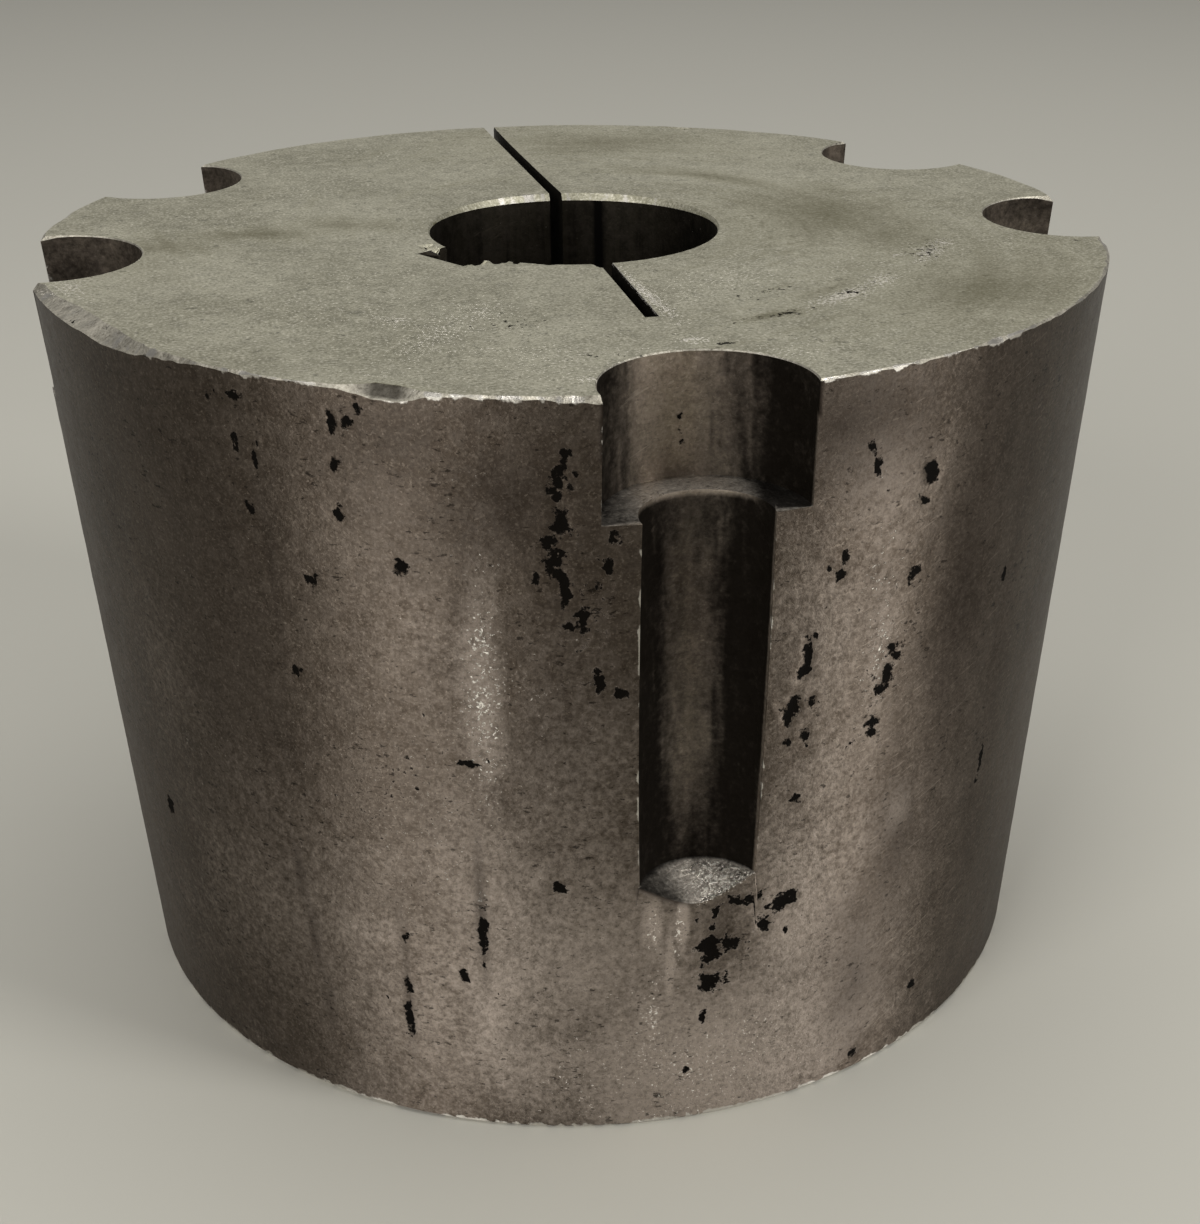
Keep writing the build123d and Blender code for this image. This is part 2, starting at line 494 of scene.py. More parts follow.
# Wear in the iron. Corrosion pits and casting pores that the turning opened lie mostly in
# vertical trails. Each row is a pit: bearing in degrees, then height, half width, half
# height and depth in millimetres.
pits = np.array([
    (-102.7, 83.2, 0.5, 0.8, 0.2), (-103.3, 80.6, 0.5, 0.6, 0.3), (-103.5, 79.2, 0.7, 0.8, 0.4),
    (-101.7, 81.1, 0.4, 0.3, 0.1), (-102.2, 79.9, 0.3, 0.5, 0.2), (-103.1, 77, 0.7, 0.7, 0.4),
    (-103.4, 75.6, 0.9, 0.7, 0.4), (-104.1, 74.3, 0.6, 0.5, 0.3), (-103.5, 72.3, 0.9, 0.5, 0.3),
    (-103.7, 70.8, 1, 0.4, 0.3), (-103, 69.6, 0.5, 0.8, 0.3), (-103, 68, 0.5, 0.9, 0.3),
    (-101.5, 65.8, 0.6, 1.3, 0.5), (-102.3, 64.8, 0.8, 0.4, 0.3), (-98.7, 74.6, 0.5, 0.4, 0.2),
    (-99.1, 71.4, 0.5, 0.9, 0.4), (-99.9, 69.5, 0.5, 0.4, 0.3), (-99.8, 58.8, 0.3, 1.1, 0.2),
    (-98.1, 57.1, 1, 0.6, 0.3), (-79.7, 59.4, 0.5, 1.5, 0.4), (-80.1, 57, 0.7, 0.8, 0.5),
    (-79.1, 61, 0.3, 0.3, 0.2), (-81, 53, 0.8, 1.2, 0.5), (-79, 53.2, 0.4, 0.4, 0.2),
    (-76.9, 67.5, 0.6, 0.6, 0.3), (-76.6, 69.5, 0.3, 0.3, 0.2), (-74.8, 80.9, 0.3, 0.7, 0.2),
    (-73.9, 78.9, 0.4, 1.2, 0.2), (-67.2, 76.4, 0.8, 1, 0.5), (-67.5, 73.8, 1, 0.4, 0.4),
    (-68, 65.4, 0.7, 0.7, 0.3), (-69.8, 57.2, 0.5, 0.5, 0.3), (-69.1, 55.9, 0.4, 0.4, 0.3),
    (-70, 53.9, 0.6, 1.3, 0.4), (-70.8, 52.4, 0.9, 0.5, 0.4), (-71.1, 48.7, 0.6, 0.6, 0.3),
    (-71.2, 47.2, 0.7, 0.5, 0.3), (-79.5, 49.5, 0.6, 0.7, 0.3), (-81.3, 49, 0.3, 0.5, 0.2),
    (-79.9, 41.6, 0.7, 0.5, 0.2), (-85, 30, 1.5, 0.6, 0.3), (-80.6, 28.3, 1.2, 1.1, 0.4),
    (-82.5, 25.9, 0.7, 0.8, 0.4), (-88.4, 24.1, 1, 1.8, 0.4), (-86.3, 24.4, 0.5, 1.3, 0.2),
    (-88.4, 19.4, 1.1, 1.3, 0.4), (-89, 14.5, 0.4, 0.9, 0.3), (-88, 28.6, 0.3, 0.8, 0.2),
    (-90.7, 7.4, 0.6, 0.5, 0.2), (-69.1, 2.4, 0.6, 0.6, 0.2), (-60, 8.4, 0.6, 0.5, 0.2),
    (-135.6, 85.8, 0.3, 0.5, 0.2), (-132.7, 86.4, 1, 0.4, 0.2), (-133.3, 81.5, 0.4, 0.9, 0.3),
    (-131.2, 79.9, 0.3, 1.3, 0.2), (-132.5, 74.3, 0.4, 0.6, 0.2), (-123, 85.3, 0.3, 1.1, 0.3),
    (-120.3, 86.8, 0.3, 0.4, 0.2), (-121.4, 85.4, 0.3, 0.3, 0.2), (-123, 81.1, 0.5, 0.9, 0.3),
    (-123.2, 75.5, 0.3, 0.7, 0.2), (-126.9, 67.6, 0.6, 0.7, 0.4), (-129.8, 56.9, 0.4, 0.6, 0.2),
    (-117.5, 70.5, 0.7, 0.6, 0.2), (-112.2, 27, 0.3, 3.2, 0.1), (-120.7, 25.5, 0.4, 0.7, 0.2),
    (-114.5, 21, 0.3, 0.9, 0.2), (-121.1, 13.5, 0.3, 2.2, 0.1), (-121, 18.5, 0.3, 1.2, 0.1),
    (-112.5, 48.7, 1.2, 0.5, 0.1), (-52.9, 60.4, 0.4, 1, 0.1), (-51.8, 36.1, 0.4, 1.9, 0.1),
    (-104.2, 33.9, 0.5, 0.7, 0.1),
    (38, 70, 0.8, 1.2, 0.4), (41, 52, 0.5, 2, 0.3), (66, 60, 0.9, 0.7, 0.4),
    (118, 74, 0.7, 1.5, 0.4), (121, 40, 0.8, 0.8, 0.3), (161, 66, 0.6, 1.6, 0.3),
    (-155, 30, 0.6, 1.1, 0.2), (10, 44, 0.5, 1.4, 0.3), (97, 24, 1, 0.8, 0.4),
])
x, y, z = np.moveaxis(points, 2, 0)
reach = np.hypot(x, y)
bearing = np.unwrap(np.arctan2(y, x), axis=1)
bearing += 2 * np.pi * np.round((rim_place - bearing) / (2 * np.pi))
middle_radius = 60
around = middle_radius * bearing


def spots(table, along, drift=0):
    """Field of soft ellipses on the unrolled surface: each row's strength at its middle,
    half of it at its half sizes, and nothing at twice those, wavered by the drift."""
    field = np.zeros(reach.shape)
    for middle, level, half_width, half_height, strength in table:
        turn_off = (bearing - math.radians(middle) + np.pi) % (2 * np.pi) - np.pi
        off = np.hypot(reach * turn_off / half_width, (along - level) / half_height)
        field = np.maximum(field, strength * np.clip(1 - off * (1 + drift) / 2, 0, 1))
    return field


row_number = np.arange(len(points))[:, None]
turned = (row_number < side_count) & (np.abs(reach - cone_radius(z)) < 0.01)
walled = (row_number >= bore_start) & (row_number < mouth_row)
faced = row_number >= mouth_row - 1
on_wall = (row_number < floor_start) & ~turned
on_ledge = (row_number >= floor_start) & (row_number < hole_start)
on_point = (row_number >= drill_start) & (row_number < drill_end) & on_hole
in_hole = (row_number < drill_start) & ~turned & ~on_arc

# Pits: the field is 1 in the middle of a pit and 0.5 at its edge. Small pits are drawn as
# wide as the mesh can carry, and none is sunk by more than 0.15 mm.
ragged = 0.3 * cloud(around, z, 0.9, 3)
sized = pits.copy()
sized[:, 2] = np.maximum(sized[:, 2], 0.4)
sized[:, 3] = np.maximum(sized[:, 3], 0.45)
sized[:, 4] = 1
pitted = spots(sized, z, ragged) * turned
deep = spots(np.column_stack([sized[:, :4], pits[:, 4]]), z, ragged) * turned
inward = np.clip(deep * 0.6 - 0.05, 0, 0.15)

# Gouges in the large end: the keyway's corners are torn, and a few knocks lie about.
# Each row is bearing, reach, half width, half length outwards and depth. The bore's top
# rows sink with the large end, each a little more than the one above it.
face_around = bearing * reach
gouges = (
    (-131.2, 17.9, 1, 0.5, 1), (-135.6, 19.6, 0.5, 0.6, 0.8), (-161.3, 19.1, 1, 0.3, 1.4),
    (-112, 17.5, 0.7, 0.15, 0.2), (-91.9, 17.8, 0.5, 0.8, 0.6), (-27, 43.4, 0.9, 0.4, 0.2),
    (-22, 62.2, 0.8, 0.5, 0.3), (63, 62.4, 0.9, 0.5, 0.4),
)
torn = 1 + 0.25 * cloud(face_around, reach, 0.7, 31)
sunk = spots(gouges, reach, 0.2 * cloud(face_around, reach, 0.8, 32)) * (faced | walled)
sunk = np.clip(sunk * torn, 0, 1.7)
row_gap = 0.05 * np.clip(mouth_row - row_number, 0, 6)
sunk_height = np.minimum(z, bush_length - sunk - row_gap)
z = np.where((faced | walled) & (sunk > 0.02), sunk_height, z)

# A curl of metal torn from the keyway's left wall stands out into the keyway at its top.
left_wall = (column_number > keyway_knots[0]) & (column_number < keyway_knots[1]) & walled
curl_length, curl_reach, curl_half_width, curl_depth = 1.9, 19.9, 0.9, 1.2
curl = curl_length * np.clip(1 - np.abs(reach - curl_reach) / curl_half_width, 0, 1)
curl = curl * left_wall * (z > bush_length - curl_depth)
x, y = x - curl * math.sin(keyway_bearing), y + curl * math.cos(keyway_bearing)

# Rubbed patches, where handling and the hub have cleaned the taper to paler iron. In front
# they are painted light: low down a painted reflection of a lit floor, and in upright
# streaks painted highlights. Rows are as above, with how strongly each is rubbed last.
rubbed_and_painted_light = spots((
    (-90, 8, 17, 15, 1.5), (-80, 25, 8, 16, 1), (-101, 22, 16, 18, 1.05), (-102, 42, 9, 16, 0.65),
    (-110.7, 56, 2, 12, 0.95), (-114, 38, 9, 24, 0.45), (-71.4, 56, 2, 15, 0.6),
    (-79, 58, 7, 16, 0.5), (-138, 26, 14, 16, 0.55), (-117, 64, 6, 16, 0.4), (-73, 77, 6, 9, 0.65),
    (-118, 16, 12, 14, 0.65), (-66, 22, 7, 14, 0.4), (-150, 50, 9, 16, 0.4),
    (-91.5, 28, 0.6, 3.5, 1.9), (-92.8, 21, 0.5, 4.5, 1.9), (-94.6, 14, 0.5, 5, 1.8),
    (-94.4, 28, 0.6, 3.5, 1.8), (-95.4, 60, 0.4, 18, 1.2), (35, 30, 20, 25, 0.7),
    (120, 20, 16, 20, 0.7), (-165, 18, 12, 20, 0.3), (75, 60, 14, 20, 0.5),
), z, 0.2 * cloud(around, z, 9, 11) + 0.12 * cloud(around, z, 3.5, 12)) * turned

# Bright scuffs, first those on the large end, by bearing and reach, then the taper's, whose
# wider ones are painted glints in its upright highlights and low in front.
face_scuffs = spots((
    (-59, 42.6, 6, 1.8, 0.78), (-49, 42.4, 4.5, 1.5, 0.72), (-30, 43.3, 5, 1.9, 0.75),
    (-24, 44, 2, 1.2, 0.8), (-87.7, 47.7, 1.8, 1, 0.8), (-86.6, 37, 0.6, 4, 0.7),
    (-100.3, 58.5, 1.6, 0.5, 0.8), (-127, 43, 3, 1.4, 0.62), (-119, 46, 4, 12, 0.48),
    (-117, 37, 3, 3, 0.52), (-168, 60, 5, 2.5, 0.6), (-72, 44, 5, 0.8, 0.65),
    (-87.2, 30, 0.9, 10, 0.75), (-104, 52, 9, 7, 0.36), (-140, 44, 9, 8, 0.32),
    (-150, 34, 7, 6, 0.3), (160, 42, 8, 6, 0.3), (140, 40, 6, 4, 0.34), (60, 45, 8, 3, 0.34),
    (110, 50, 5, 5, 0.34), (10, 38, 6, 4, 0.4), (-66, 30, 12, 6, 0.4), (-80, 55, 10, 4, 0.36),
    (-45, 36, 10, 5, 0.36),
), reach, 0.3 * cloud(face_around, reach, 2.5, 13)) * faced
side_scuffs_and_painted_glints = spots((
    (-91.9, 27, 0.5, 4, 0.5), (-94.4, 16, 0.5, 6, 0.45), (-94.7, 28, 0.6, 3, 0.5),
    (-112.2, 31, 0.5, 2.5, 0.5), (-110.7, 57, 2.2, 12, 0.5), (-71.4, 57, 2, 12, 0.4),
    (-90, 8, 14, 8, 0.3), (-116, 40, 10, 16, 0.22),
), z, 0.3 * cloud(around, z, 3, 17)) * turned
scuffs_and_painted_glints = np.maximum(face_scuffs, side_scuffs_and_painted_glints)
# The drill's points carry painted glints, strongest just right of their middle.
point_painted_glints = np.interp(place, [-0.3, 0, 0.4, 0.9], [0, 0.4, 0.6, 0.5])
scuffs_and_painted_glints = np.where(on_point, point_painted_glints, scuffs_and_painted_glints)

# Stains of old oil and dirt on the taper and on the large end, mixed with painted shade: the
# broad dark patches on the taper, those on the large end at its right and back and in a band
# inside the left hole, and the chip's, are painted shade. A dark stripe runs down the bore.
side_stains_and_shade = spots((
    (-112.2, 30, 0.6, 9, 0.6), (-121, 18, 0.5, 8, 0.5), (-131, 66, 0.8, 12, 0.5),
    (-174, 44, 9, 40, 0.3), (-136, 60, 8, 30, 0.35), (-108, 78, 8, 9, 0.5), (-52, 55, 3, 30, 0.4),
    (-104, 60, 6, 20, 0.3), (-77, 84, 12, 9, 0.6), (-60.5, 62, 5, 28, 0.65), (-70, 14, 5, 12, 0.5),
    (-66, 32, 4, 14, 0.5), (-118, 84, 10, 6, 0.4), (-133, 31, 0.8, 5, 0.6),
    (-132.2, 22, 0.8, 5, 0.6), (-131.4, 13, 0.8, 5, 0.5),
), z, 0.15 * cloud(around, z, 5, 14)) * turned
face_stains_and_shade = spots((
    (178, 50, 3.5, 7, 0.65), (172, 38, 3, 9, 0.7), (165, 28, 3, 7, 0.6), (45, 33, 14, 3, 0.7),
    (15, 38, 8, 3, 0.6), (75, 50, 22, 10, 0.6), (-20, 38, 14, 9, 0.6), (182, 54, 9, 7, 0.45),
    (-73, 43.5, 4, 1, 0.9), (-57, 40, 7, 1.5, 0.6), (-30, 41, 7, 1.5, 0.5),
    (-118.2, 63, 3.2, 1.2, 0.7), (-45, 53, 17, 11, 0.68), (-44, 37, 9, 6, 0.4),
    (-3, 32, 16, 10, 0.75), (-20, 56, 5, 4, 0.4),
), reach, 0.3 * cloud(face_around, reach, 4, 15)) * faced
bore_stripe_bearing, bore_stripe_half_width = 68.7, 2.6
off_stripe = np.abs(np.degrees(bearing) - bore_stripe_bearing - 360)
bore_dark_stripe = walled & (off_stripe < bore_stripe_half_width)
stains_and_painted_shade = np.where(bore_dark_stripe, 1, np.maximum(side_stains_and_shade, face_stains_and_shade))

# Painted shade in the holes: the walls are painted black at both sides, most at the right,
# where they face away from the light, and lighter down the middle. Each pair of lists is a
# place across the wall and how free of painted shade it is there.
depth = bush_length - z
drilled = depth > counterbore_depth + 0.1
across_wall = core_share + (1 - core_share) * np.abs(place)
wall_place = np.where(drilled, place, place * core_share)
wall_place = np.where(on_shoulder & ~drilled, np.sign(place) * across_wall, wall_place)
unshaded_counterbore = np.interp(
    wall_place,
    [-0.8, -0.5, -0.4, -0.28, -0.15, 0.02, 0.19, 0.42, 0.6],
    [0.08, 0.15, 0.25, 0.65, 0.9, 0.92, 0.45, 0.2, 0],
)
unshaded_hole = np.interp(
    wall_place,
    [-0.9, -0.5, -0.35, -0.2, 0, 0.2, 0.45],
    [0, 0, 0.08, 0.42, 0.58, 0.38, 0],
)
unshaded_hole *= np.interp(depth, [14, 20, 30, 36, 42, 47, 54], [0.55, 0.8, 0.85, 0.85, 1, 0.65, 0.2])
left_hole_unshaded, other_holes_unshaded = 0.26, 0.33
unshaded = np.where(owner == 1, left_hole_unshaded, other_holes_unshaded)
unshaded = np.where(owner == front_hole, np.where(drilled, unshaded_hole, unshaded_counterbore), unshaded)
unshaded = np.clip(unshaded + 0.06 * cloud(around * 3, z * 0.3, 1.2, 16), 0, 1)
unshaded_ledge = np.interp(
    wall_place,
    [-0.75, -0.5, -0.3, -0.1, 0.15, 0.35, 0.5],
    [0.2, 0.35, 0.75, 1, 1, 0.55, 0.02],
)
unshaded = np.where(on_ledge, unshaded_ledge, unshaded)
stains_and_painted_shade = np.where(in_hole, 1 - unshaded, stains_and_painted_shade)
# The drill's points are painted dark towards their left, as shade.
point_painted_shade = np.interp(place, [-1, -0.6, -0.3, 0, 0.5, 1], [0.9, 0.8, 0.5, 0.05, 0, 0.2])
stains_and_painted_shade = np.where(on_point, point_painted_shade, stains_and_painted_shade)
# The counterbores' floors are painted lighter across their middle, as painted light.
rubbed_and_painted_light = np.where(on_ledge & ~on_arc, 1.3 * unshaded_ledge, rubbed_and_painted_light)

# Small dark marks: in the gouges, on the front counterbore's wall, and among the scuffs.
wall_marks = ((-89.8, 79.4, 0.3, 1.8, 0.62), (-90.2, 82, 0.3, 1.2, 0.5))
face_marks = (
    (-57, 42, 6, 1.5, 0.4), (-30, 42.8, 5, 1.7, 0.42), (-73, 43.6, 4.5, 0.9, 0.56),
    (-66, 36, 8, 3, 0.34), (-20, 60, 0.6, 0.6, 0.7), (-110, 40, 5, 6, 0.34),
    (-84.6, 50, 1.2, 0.5, 0.6), (-100, 51, 5, 3, 0.34),
)
side_marks = (
    (-118, 46, 10, 14, 0.24), (-101, 66, 4, 14, 0.26), (-72, 50, 5, 20, 0.24), (-85, 24, 8, 5, 0.28),
)
pitted = np.maximum.reduce([
    pitted, np.clip(sunk * 1.2, 0, 0.6), spots(wall_marks, z, ragged) * on_wall,
    spots(face_marks, reach, ragged) * faced, spots(side_marks, z, ragged) * turned,
])

# Burnished edges: 1 on the vertices of an edge that knocks have rubbed bright. The large
# rim is bright as its table says, its chip painted dark as shadow where the table is below
# 0, and the other edges wander by short clouds.
burnish_and_painted_highlight = np.zeros(reach.shape)
rim_noise = 0.25 * along_rim(2.5, 5) + 0.3 * along_rim(0.8, 6)
top_shine = np.clip(np.abs(rim_shine_and_painted_shadow), 0, 0.85) - 0.15 + rim_noise
burnish_and_painted_highlight[0] = np.where(on_arc, top_shine, 0.4)
burnish_and_painted_highlight[rim_start:] = np.where(on_arc, rim_shine_and_painted_shadow + rim_noise, 0.4)
burnish_and_painted_highlight[rim_start - 1] = np.where(on_arc, rim_shine_and_painted_shadow - 0.2 + rim_noise, 0.35)
# The chip in the rim is painted dark, as its shadow.
stains_and_painted_shade[rim_start - 1 :] = np.clip(-rim_shine_and_painted_shadow * on_arc, 0, 1)
burnish_and_painted_highlight[side_count - 1 : side_count + 1] = 0.75 + rim_noise
bore_side = np.where(place < 0, 0.6, 0.25) + 0.25 * cloud(z[:floor_start], 0, 1.3, 8)
hole_side = np.where(place < 0, 0.6, 0.35) + 0.3 * cloud(z[hole_start:drill_start], 0, 1.3, 9)
at_end = np.abs(place) == 1
burnish_and_painted_highlight[:floor_start] = np.where(on_shoulder & at_end, bore_side, burnish_and_painted_highlight[:floor_start])
burnish_and_painted_highlight[hole_start:drill_start] = np.where(on_hole & at_end, hole_side, 0)

# The bore's mouth is painted bright at the back, a painted highlight, and painted dark at
# the sides, as shade, by bearing in degrees. The keyway and the relief slit are left out
# of it, but for the slit's bright right edge.
before_slit = (column_number > keyway_knots[3]) & (column_number < slit_knots[0])
round_columns = (column_number < keyway_knots[0]) | before_slit | (column_number > slit_knots[3])
mouth_painted_light_and_shade = np.interp(
    np.degrees(rim_place),
    [91, 102, 125, 150, 180, 330, 375, 400, 418, 430, 440, 449],
    [0.7, 0.65, 0.35, -0.3, -0.5, -0.5, -0.3, 0, 0.6, 0.6, 0.35, 0.65],
)
mouth_painted_light_and_shade += 0.25 * along_rim(1.5, 7)
burnish_and_painted_highlight[mouth_row - 1 : mouth_row + 1] = np.where(round_columns, mouth_painted_light_and_shade, 0)
burnish_and_painted_highlight[mouth_row : mouth_row + 2, slit_knots[2] : slit_knots[3] + 1] = 0.65
mouth_painted_shade = np.clip(-mouth_painted_light_and_shade, 0, 1)
stains_and_painted_shade[mouth_row - 1] = np.where(round_columns, mouth_painted_shade, stains_and_painted_shade[mouth_row - 1])
burnish_and_painted_highlight[:, [0, -1]] = 0

# The taper waves by a hundredth of a millimetre, and the whole skin lies a little inside
# the sizes above, so that no wave stands out past them.
skin_depth = 0.03
inward = inward + 0.012 * cloud(around, z, 2.0, 41) * turned + skin_depth
scale = 1 - np.clip(inward, 0, 1) / reach
points = np.stack([x * scale, y * scale, z], 2)


def ring_mesh(name, points):
    """Mesh of a grid that closes on itself down its rows and ends in two flat caps."""
    row_count, column_count, _ = points.shape
    down = np.arange(row_count)[:, None] * column_count
    next_down = (np.arange(row_count)[:, None] + 1) % row_count * column_count
    across = np.arange(column_count - 1)[None]
    corners = [down + across, next_down + across, next_down + across + 1, down + across + 1]
    quads = np.stack(corners, 2).reshape(-1, 4)
    first = list(range((row_count - 1) * column_count, -1, -column_count))
    last = list(range(column_count - 1, row_count * column_count, column_count))
    mesh = bpy.data.meshes.new(name)
    mesh.from_pydata((points.reshape(-1, 3) * MM).tolist(), [], quads.tolist() + [first, last])
    return mesh


bush_mesh = ring_mesh("worn_taper_bush", points)
bush = bpy.data.objects.new("worn_taper_bush", bush_mesh)
bpy.context.scene.collection.objects.link(bush)

# Finish of each quad: 0 turned taper, 1 faced end, 2 drilled wall, 3 bored or sawn wall,
# 4 the drill's point and the counterbores' floors, 5 the knocked rim. Edges that turn by
# more than 18 degrees stay sharp.
pair_in_hole = on_hole[:-1] & on_hole[1:]
pair_off_arc = ~on_arc[:-1] & ~on_arc[1:]
finish = np.zeros((len(points), columns - 1), int)
finish[: floor_start - 1] = pair_off_arc * 2
finish[floor_start - 1 : hole_start - 1] = pair_off_arc * 4
finish[hole_start - 1 : drill_start - 1] = pair_in_hole * 2
finish[drill_start - 1 : drill_end - 1] = pair_in_hole * 4
finish[side_count:bore_start] = 1
finish[bore_start : mouth_row - 1] = 3
finish[mouth_row - 1] = np.where(round_columns[:-1] & round_columns[1:], 1, 3)
finish[mouth_row : rim_start - 1] = 1
finish[rim_start - 1 :] = 5
end_caps = [3, 3]
finish = np.concatenate([finish.ravel(), end_caps])
bush_mesh.polygons.foreach_set("material_index", finish)
bush_mesh.shade_smooth()
bush_mesh.set_sharp_from_angle(angle=math.radians(18))


def add_field(mesh, name, values):
    """Stores one number per vertex under a name that materials read."""
    field = mesh.attributes.new(name, "FLOAT", "POINT")
    field.data.foreach_set("value", values.ravel().astype(np.float32))


add_field(bush_mesh, "pitted", pitted)
add_field(bush_mesh, "burnish_and_painted_highlight", burnish_and_painted_highlight)
add_field(bush_mesh, "rubbed_and_painted_light", rubbed_and_painted_light)
add_field(bush_mesh, "scuffs_and_painted_glints", scuffs_and_painted_glints)
add_field(bush_mesh, "stains_and_painted_shade", stains_and_painted_shade)
unrolled = bush_mesh.attributes.new("unrolled", "FLOAT_VECTOR", "POINT")
unrolled.data.foreach_set("vector", (np.stack([around, z, reach], 2) * MM).astype(np.float32).ravel())
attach(bush, "root")
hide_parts("taper_bush")


def linear(hex_colour):
    """Turns an sRGB hex colour into linear red, green, blue and an alpha of 1."""
    channels = np.array([int(hex_colour[i : i + 2], 16) for i in (1, 3, 5)]) / 255
    low, high = channels / 12.92, ((channels + 0.055) / 1.055) ** 2.4
    return (*np.where(channels <= 0.04045, low, high).tolist(), 1)


def add(tree, kind, inputs=None, **settings):
    """Adds a node with its settings. Each input takes a value, or the socket it links to."""
    node = tree.nodes.new(kind)
    for name, value in settings.items():
        setattr(node, name, value)
    for name, value in (inputs or {}).items():
        if isinstance(value, bpy.types.NodeSocket):
            tree.links.new(value, node.inputs[name])
        else:
            node.inputs[name].default_value = value
    return node


def iron_finish(name, colours, shares, rough, grain_stretch, anisotropy, relief_depths):
    """Worn grey cast iron: metal whose tone clouds over, with a fine grain, flecks, pits
    filled with dirt and edges rubbed bright, and the painted highlights, glints and shade that
    the mesh's fields carry. Each layer of tone is laid over the last by its share, which
    rises smoothly as a noise or a worn or painted mark passes its two limits."""
    material = bpy.data.materials.new(name)
    material.use_nodes = True
    tree = material.node_tree
    shader = tree.nodes["Principled BSDF"]
    shader.inputs["Anisotropic"].default_value = anisotropy
    shader.inputs["Specular IOR Level"].default_value = 0.04
    unrolled = add(tree, "ShaderNodeAttribute", attribute_name="unrolled").outputs["Vector"]
    stretched = add(tree, "ShaderNodeMapping", {"Scale": grain_stretch, "Vector": unrolled}).outputs[0]
    solid = add(tree, "ShaderNodeTexCoord").outputs["Object"]
    flat = add(tree, "ShaderNodeMapping", {"Scale": (1, 1, 2.2), "Vector": solid}).outputs[0]
    inputs = {"Rotation": (0, -0.3, 0.5), "Scale": (25, 1, 1), "Vector": solid}
    drawn = add(tree, "ShaderNodeMapping", inputs, vector_type="TEXTURE").outputs[0]

    # Sizes are those of the real marks in millimetres. The iron's own grain, of about a
    # tenth of a millimetre, is too fine to show, so it is drawn as coarse as 0.36. The
    # scratches are 0.4 wide and 25 times as long.
    fields = {}
    for label, size, source, detail in (
        ("cloud", 14, solid, 4), ("patch", 4, stretched, 4), ("mottle", 1.5, solid, 6),
        ("grain", 0.36, solid, 3), ("fleck", 1.1, flat, 6), ("ragged", 0.8, solid, 6),
        ("scratch", 0.4, drawn, 2),
    ):
        inputs = {"Scale": 1 / (size * MM), "Detail": detail, "Roughness": 0.65, "Vector": source}
        fields[label] = add(tree, "ShaderNodeTexNoise", inputs).outputs["Fac"]

    # Each worn or painted mark is the mesh's field of that name, its edge made ragged by a noise.
    for label, source, wander in (
        ("rubbed_and_painted_light", "ragged", 1.6), ("scuffs_and_painted_glints", "grain", 2.2), ("stains_and_painted_shade", "ragged", 0.5),
        ("burnish_and_painted_highlight", "ragged", 1.0), ("pitted", "ragged", 1.6),
    ):
        mark = add(tree, "ShaderNodeAttribute", attribute_name=label).outputs["Fac"]
        inputs = {0: fields[source], 1: wander, 2: mark}
        fields[label] = add(tree, "ShaderNodeMath", inputs, operation="MULTIPLY_ADD").outputs[0]
    inputs = {0: fields["patch"], 1: 0.4, 2: fields["fleck"]}
    fields["crumb"] = add(tree, "ShaderNodeMath", inputs, operation="MULTIPLY_ADD").outputs[0]

    # Tone, from the bare iron up to the dirt. A layer is its field, the field's two limits,
    # its greatest share and its colour.
    patch_share, mottle_share, grain_share, fleck_share, speck_share = shares
    tone, laid = linear(colours["base"]), {}
    for label, low, high, most, colour in (
        ("cloud", 0.35, 0.65, 1, "clouded"), ("patch", 0.45, 0.75, patch_share, "dark"),
        ("mottle", 0.4, 0.66, mottle_share, "light"), ("rubbed_and_painted_light", 0.9, 2.3, 1, "rubbed_and_painted_light"),
        ("grain", 0.5, 0.7, grain_share, "pale"), ("grain", 0.5, 0.3, grain_share, "dark"),
        ("fleck", 0.6, 0.7, fleck_share, "pale"), ("crumb", 0.585, 0.52, speck_share, "dirt"),
        ("scratch", 0.64, 0.7, 0.5, "pale"), ("scuffs_and_painted_glints", 1.6, 1.85, 0.95, "bright"),
        ("stains_and_painted_shade", 0.25, 1.25, 0.98, "stains_and_painted_shade"), ("burnish_and_painted_highlight", 1.0, 1.3, 1, "burnish_and_painted_highlight"),
        ("pitted", 1.2, 1.32, 1, "dirt"),
    ):
        inputs = {"Value": fields[label], "From Min": low, "From Max": high, "To Max": most}
        share = add(tree, "ShaderNodeMapRange", inputs, interpolation_type="SMOOTHSTEP")
        laid[label] = share.outputs["Result"]
        inputs = {0: laid[label], 6: tone, 7: linear(colours[colour])}
        tone = add(tree, "ShaderNodeMix", inputs, data_type="RGBA").outputs[2]
    tree.links.new(tone, shader.inputs["Base Color"])

    # Dirt, oil and rubbed rust aren't bare metal, so they take from its mirror, and so does the
    # painted shade and light that shares their fields.
    dull = laid["pitted"]
    for label, share in (("stains_and_painted_shade", 0.6), ("rubbed_and_painted_light", 0.3)):
        inputs = {0: laid[label], 1: share, 2: dull}
        dull = add(tree, "ShaderNodeMath", inputs, operation="MULTIPLY_ADD", use_clamp=True).outputs[0]
    metallic = add(tree, "ShaderNodeMath", {0: 1, 1: dull}, operation="SUBTRACT").outputs[0]
    tree.links.new(metallic, shader.inputs["Metallic"])

